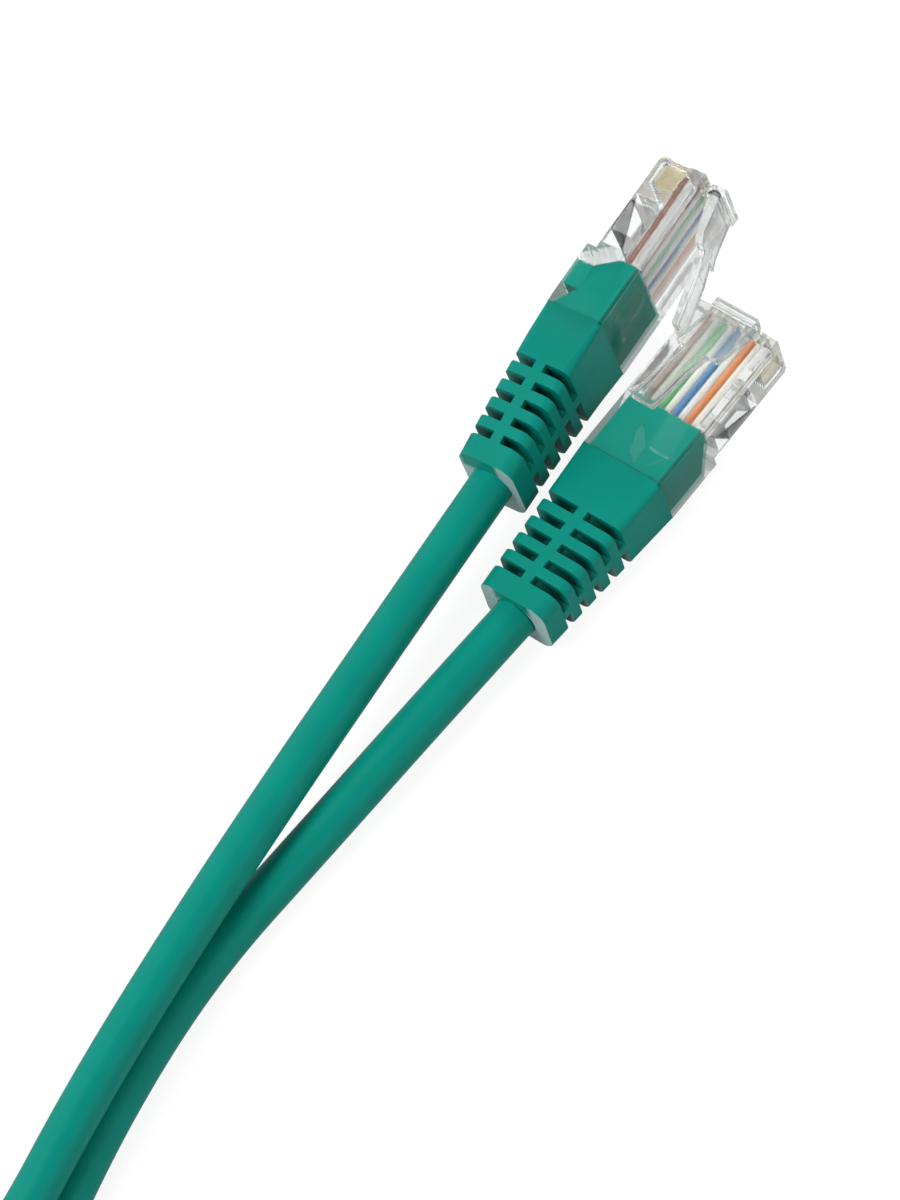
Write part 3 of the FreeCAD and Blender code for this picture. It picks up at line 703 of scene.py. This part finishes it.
def wire_line(pin):
    """Middle line of a wire in its plug's frame: bundled with its partner, then eased into the flat row.

    The ease is the smooth step 3t² − 2t³ from the end of the bundle to the start of the row."""
    pair = (pin - 1) // 2
    side = 1 if pin % 2 else -1
    bundle_x = (1.5 - pair) * PAIR_LAY
    row_x = (PINS / 2 - 0.5 - (pin - 1)) * PIN_PITCH
    fan = np.linspace(FAN_START - 1, FAN_END, FAN_STEPS)
    along = np.concatenate([[-BOOT_LENGTH], fan, ROW_PLACES])
    share = np.clip((along - FAN_START) / (FAN_END - FAN_START), 0, 1)
    ease = share * share * (3 - 2 * share)
    x = bundle_x + (row_x - bundle_x) * ease
    z = side * PAIR_LAY / 2 + (CHAMBER_ROW - side * PAIR_LAY / 2) * ease
    return np.stack([x, along, z], axis=1)


def wire_sleeve(letter, pin, conductor):
    """A sleeve carried along its wire's line: outside from end to end, and its bore back again.

    Each point is the line's point plus the radius times the cosine across and the sine above."""
    line = wire_line(pin)
    both = np.concatenate([line, line[::-1]])
    count = len(line)
    radius = np.concatenate([np.full(count, WIRE_DIAMETER / 2), np.full(count, CORE_BORE / 2)])
    turn = np.linspace(0, 2 * math.pi, SLEEVE_SIDES, endpoint=False)
    ring = np.stack([np.cos(turn), 0 * turn, np.sin(turn)], axis=1)
    points = both[:, None, :] + radius[:, None, None] * ring[None, :, :]
    place = np.array(plug_place(letter))
    points = points * MM @ place[:3, :3].T + place[:3, 3]
    u = np.arange(SLEEVE_SIDES) / SLEEVE_SIDES
    u_next = (np.arange(SLEEVE_SIDES) + 1) / SLEEVE_SIDES
    v = both[:, 1]
    v_next = np.roll(v, -1)
    corners = [(u, v), (u_next, v), (u_next, v_next), (u, v_next)]
    uv = np.stack([np.stack(np.meshgrid(*corner), axis=-1) for corner in corners], axis=2)
    sleeve = flexed(surface("sleeve_" + conductor + "_" + letter, points, uv), letter)
    finished(sleeve, "cable", "wire_" + conductor, "wire_" + conductor + "_" + letter)


def make_sleeves(letter):
    """The eight conductors' sleeves, in the order of their pins."""
    for pin, entry in enumerate(CONDUCTORS, 1):
        wire_sleeve(letter, pin, entry[0])


def make_boot(letter):
    """Strain relief with its block, slots and collar, its edges rounded as the mould leaves them."""
    boot = flexed(merged_copy("boot_" + letter, "moulded_boot_" + letter), letter)
    boot_pvc = dyed_pvc(
        "moulded_green_pvc_" + letter, ("#008E7F", "#00897B"), MOULD_GRAIN, MOULD_DEPTH, (0.38, 0.5), letter,
    )
    finished(boot, "cable", "boot", "boot_" + letter, material=boot_pvc)
    mark_edges(boot, letter=letter)
    round_edges(boot, BOOT_ROUNDING)


def make_housing(letter):
    """Clear plug body, which lets the lamps' light through to what is in it."""
    housing = merged_copy("housing_" + letter, "clear_body_" + letter)
    finished(housing, "cable", "clear_housing", "housing_" + letter)
    round_clear_edges(housing, HOUSING_ROUNDING, HOUSING_EDGE, letter)
    housing.visible_shadow = False


def make_lever(letter):
    """Clear latch lever, on the body that its press moves."""
    lever = merged_copy("latch_lever_" + letter, "clear_lever_" + letter)
    finished(lever, "latch_" + letter, "clear_latch", "latch_lever_" + letter)
    round_clear_edges(lever, LEVER_ROUNDING, LEVER_EDGE)
    lever.visible_shadow = False


def make_blades(letter):
    """The eight stamped contacts, with the fine break of a stamped edge."""
    for pin in range(1, PINS + 1):
        node = "contact_" + str(pin) + "_" + letter
        blade = merged_copy(node, "blade_" + str(pin) + "_" + letter)
        finished(blade, "cable", "gold_contact", node)
        round_edges(blade, BLADE_ROUNDING, BLADE_ANGLE)


def make_shot(letter):
    """First green shot, which fills the rear of the clear body and wets it."""
    shot = merged_copy("inner_overmould_" + letter, "green_shot_" + letter)
    if letter == "b":
        side_filled(shot)
    flexed(grown(shot, WETTING), letter)
    shot_pvc = overmould_pvc(letter)
    finished(shot, "cable", "inner_overmould", "inner_overmould_" + letter, material=shot_pvc)


def make_stripped_end(letter):
    """Stripped end of the jacket and the bare copper in the conductors, both bent with the boot."""
    jacket = flexed(merged_copy("jacket_end_" + letter, "stripped_jacket_" + letter), letter)
    finished(jacket, "cable", "jacket", "jacket_end_" + letter)
    strands = flexed(merged_copy("copper_cores_" + letter, "copper_strands_" + letter), letter)
    finished(strands, "cable", "copper", "copper_cores_" + letter)


# Floor and light


def make_floor():
    """A plain pale sheet under the object: white to the eye, grey in mirrors, with a faint shadow."""
    turn = np.linspace(0, 2 * math.pi, FLOOR_SIDES, endpoint=False)
    x = FLOOR_RADIUS * np.cos(turn)
    y = FLOOR_RADIUS * np.sin(turn) + FLOOR_MIDDLE
    mesh = bpy.data.meshes.new("floor")
    mesh.from_pydata(np.stack([x, y, 0 * turn - FLOOR_DROP], axis=1), [], [list(range(FLOOR_SIDES))])
    floor = bpy.data.objects.new("floor", mesh)
    bpy.context.scene.collection.objects.link(floor)
    material, tree = new_material("white_sheet")
    white = linear("#FFFFFF")
    glow = add(tree, "ShaderNodeEmission", {}, {"Color": white, "Strength": FLOOR_GLOW}).outputs[0]
    shade = add(tree, "ShaderNodeBsdfDiffuse", {}, {"Color": linear("#686868")}).outputs[0]
    seen = add(tree, "ShaderNodeAddShader", {}, {0: glow, 1: shade}).outputs[0]
    mirrored = add(tree, "ShaderNodeEmission", {}, {"Color": white, "Strength": MIRRORED_SHEET}).outputs[0]
    shader = add(tree, "ShaderNodeBsdfDiffuse", {}, {"Color": linear("#D8D8D8")}).outputs[0]
    rays = add(tree, "ShaderNodeLightPath").outputs
    for ray, other in (("Is Glossy Ray", mirrored), ("Is Transmission Ray", seen), ("Is Camera Ray", seen)):
        shader = add(tree, "ShaderNodeMixShader", {}, {0: rays[ray], 1: shader, 2: other}).outputs[0]
    add(tree, "ShaderNodeOutputMaterial", {}, {"Surface": shader})
    mesh.materials.append(material)


def make_world():
    """Soft studio: white to the camera, pale through clear plastic, and to the object bright walls.

    The ceiling is dim, and the walls darken towards the floor."""
    world = bpy.data.worlds.new("studio")
    bpy.context.scene.world = world
    world.use_nodes = True
    tree = world.node_tree
    tree.nodes.clear()
    where = add(tree, "ShaderNodeTexCoord").outputs["Generated"]
    height = add(tree, "ShaderNodeSeparateXYZ", {}, {"Vector": where}).outputs["Z"]
    foot = {0: height, 1: WALL_FOOT[0], 2: WALL_FOOT[1], 3: WALL_LIGHT[0], 4: WALL_LIGHT[1]}
    walls = add(tree, "ShaderNodeMapRange", {}, foot).outputs[0]
    edge = {0: height, 1: CEILING_EDGE[0], 2: CEILING_EDGE[1], 3: 1.0, 4: CEILING_LIGHT}
    ceiling = add(tree, "ShaderNodeMapRange", {}, edge).outputs[0]
    rays = add(tree, "ShaderNodeLightPath").outputs
    through = {0: rays["Is Transmission Ray"], 1: THROUGH_CLEAR}
    pale = add(tree, "ShaderNodeMath", {"operation": "MULTIPLY"}, through).outputs[0]
    room = add(tree, "ShaderNodeMath", {"operation": "MULTIPLY"}, {0: walls, 1: ceiling}).outputs[0]
    light = add(tree, "ShaderNodeMath", {"operation": "MAXIMUM"}, {0: room, 1: pale}).outputs[0]
    white = linear("#FFFFFF")
    studio = add(tree, "ShaderNodeBackground", {}, {"Color": white, "Strength": light}).outputs[0]
    backdrop = add(tree, "ShaderNodeBackground", {}, {"Color": white, "Strength": 1.0}).outputs[0]
    both = {0: rays["Is Camera Ray"], 1: studio, 2: backdrop}
    shader = add(tree, "ShaderNodeMixShader", {}, both).outputs[0]
    add(tree, "ShaderNodeOutputWorld", {}, {"Surface": shader})


def area_light(name, place, size, power):
    """A square lamp that faces the plugs."""
    data = bpy.data.lights.new(name, "AREA")
    data.shape = "SQUARE"
    data.size = size
    data.energy = power
    lamp = bpy.data.objects.new(name, data)
    lamp.location = place
    lamp.rotation_euler = (-Vector(place)).to_track_quat("-Z", "Y").to_euler()
    bpy.context.scene.collection.objects.link(lamp)


make_camera()
make_cord()
for letter in "ab":
    make_boot(letter)
    make_housing(letter)
    make_lever(letter)
    make_blades(letter)
    make_sleeves(letter)
    make_shot(letter)
    make_stripped_end(letter)
make_floor()
make_world()
for name, place, size, power in LAMPS:
    area_light(name, place, size, power)
bpy.context.scene.view_settings.view_transform = "Standard"
